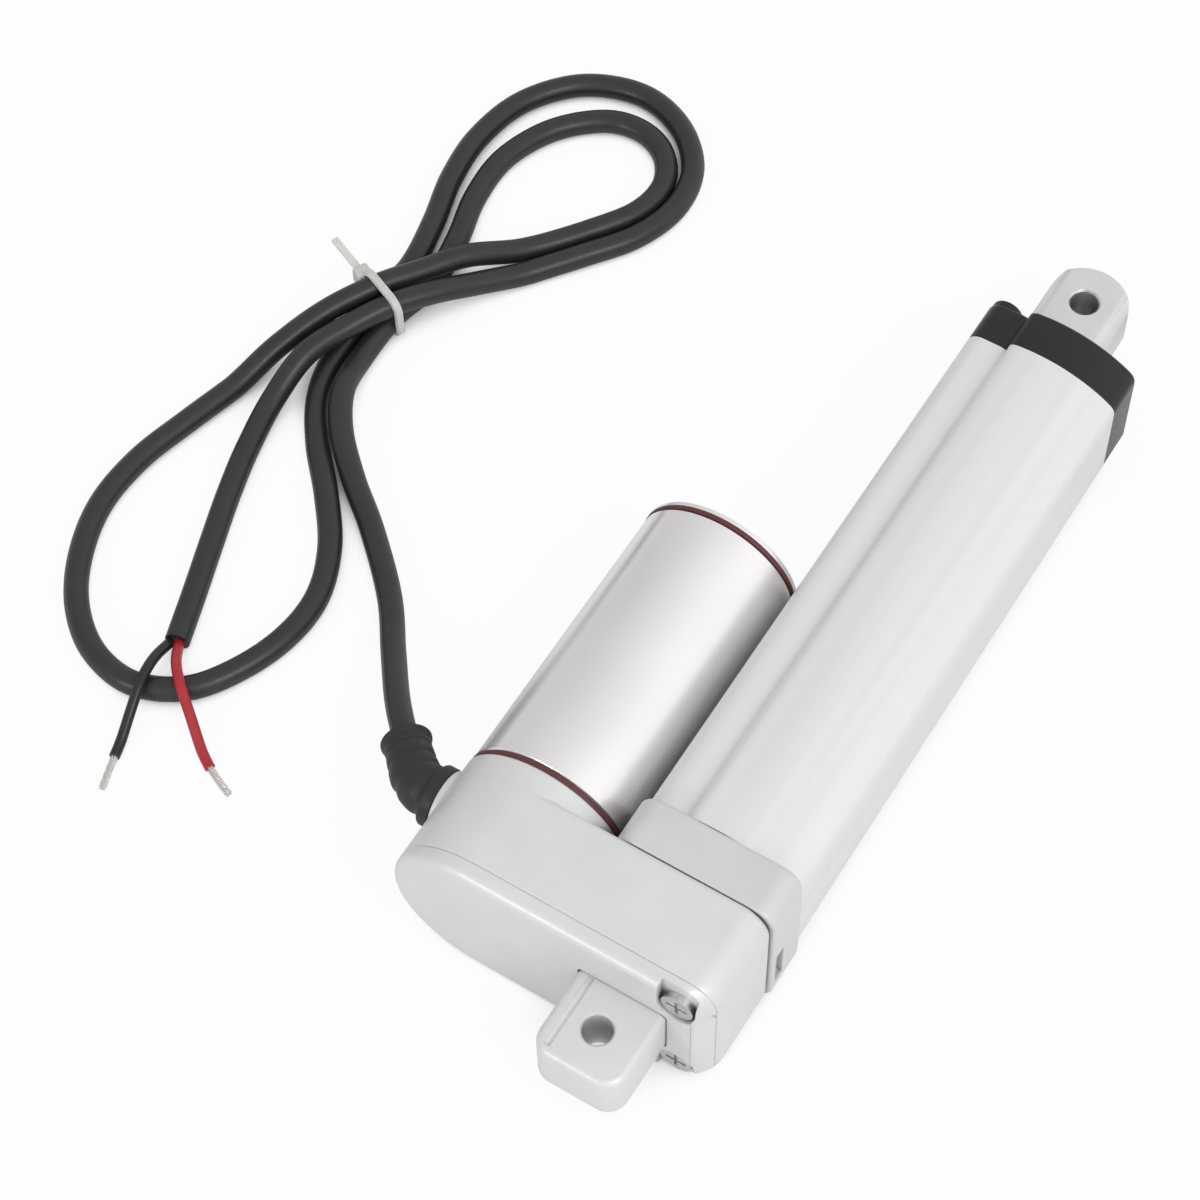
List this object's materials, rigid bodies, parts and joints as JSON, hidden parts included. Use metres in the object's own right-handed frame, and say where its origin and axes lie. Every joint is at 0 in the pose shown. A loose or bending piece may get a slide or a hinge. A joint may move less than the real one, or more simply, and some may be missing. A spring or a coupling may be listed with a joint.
{
  "type": "linear actuator",
  "caption": "Electric linear actuator: gearbox with a side motor, square tube, sliding rod with a cross hole, tail lug and a tied two-wire cord.",
  "frame": {"origin": "centre of the tail lug's hole, halfway through the lug's thickness", "axes": "+Y along the rod, the way it extends; +Z along both mounting holes, up from the floor it lies on; -X towards the motor"},
  "size_m": [0.1902, 0.2346, 0.0376],
  "materials": {
    "silver_paint": "silver paint, satin",
    "grey_paint": "grey paint, satin",
    "anodised": "clear anodised",
    "plated_steel": "bright plated",
    "rod_steel": "ground",
    "plain_steel": "machined",
    "dark_steel": "oiled",
    "zinc_steel": "zinc plated",
    "bronze": "sintered",
    "brass": "machined",
    "copper": "enamelled wire",
    "acetal": "moulded",
    "black_plastic": "moulded",
    "black_rubber": "moulded",
    "seal_brown": "moulded",
    "ferrite": "sintered ferrite",
    "phenolic": "laminate",
    "carbon": "pressed carbon",
    "circuit_board": "solder mask",
    "glass_red": "glass body",
    "cord_black": "extruded PVC",
    "clear_nylon": "natural nylon",
    "lead_black": "extruded PVC",
    "lead_red": "extruded PVC",
    "tinned_wire": "tinned strands"
  },
  "bodies": {
    "housing": {"tail_lug": "silver_paint", "lug_screws": "zinc_steel", "rear_cover": "silver_paint", "cover_screws": "zinc_steel", "gear_housing": "silver_paint", "rear_bush": "bronze", "idler_shaft": "plain_steel", "motor_front_plate": "plain_steel", "motor_screws": "zinc_steel", "front_bush_bearing": "bronze", "seam_gasket": "seal_brown", "motor_can": "plated_steel", "magnets": "ferrite", "brush_holder": "phenolic", "brushes": "carbon", "brush_springs": "plain_steel", "rear_bush_bearing": "bronze", "end_gasket": "seal_brown", "motor_end_cap": "plated_steel", "bearing_outer_race": "plain_steel", "bearing_balls": "plain_steel", "tube_collar": "grey_paint", "collar_screws": "zinc_steel", "tube_o_ring": "black_rubber", "outer_tube": "anodised", "switch_strip": "circuit_board", "limit_switches": "black_plastic", "switch_diodes": "glass_red", "front_cap": "black_plastic", "cap_screws": "zinc_steel", "wiper_seal": "black_rubber", "rod_guide": "acetal", "strain_relief": "black_rubber", "power_cord": "cord_black", "cable_tie": "clear_nylon", "black_lead": "lead_black", "red_lead": "lead_red", "lead_tips": "tinned_wire"},
    "rod": {"drive_nut": "acetal", "rod_tube": "rod_steel", "rod_end": "rod_steel"},
    "screw": {"lead_screw": "dark_steel", "screw_locknut": "dark_steel", "output_gear": "acetal", "gear_pin": "plain_steel", "bearing_inner_race": "plain_steel"},
    "idler": {"idler_gear": "acetal"},
    "rotor": {"motor_pinion": "brass", "motor_shaft": "plain_steel", "armature_core": "dark_steel", "windings": "copper", "commutator": "copper"}
  },
  "joints": [
    {"name": "screw_spin", "type": "hinge", "parent": "housing", "child": "screw", "pos_m": [0, 0.03, 0], "axis": [0, -1, 0], "range_deg": [0, 12000]},
    {"name": "idler_spin", "type": "hinge", "parent": "housing", "child": "idler", "pos_m": [-0.01996, 0.02, 0.00133], "axis": [0, -1, 0], "continuous": true},
    {"name": "motor_spin", "type": "hinge", "parent": "housing", "child": "rotor", "pos_m": [-0.036, 0.03, 0], "axis": [0, -1, 0], "continuous": true},
    {"name": "rod_slide", "type": "slide", "parent": "housing", "child": "rod", "axis": [0, 1, 0], "range_m": [0, 0.1]}
  ],
  "couplings": [
    {"joint": "idler_spin", "follows": "screw_spin", "ratio": -2.8462},
    {"joint": "motor_spin", "follows": "screw_spin", "ratio": 8.0641},
    {"joint": "rod_slide", "follows": "screw_spin", "m_per_rad": 0.00047746}
  ]
}
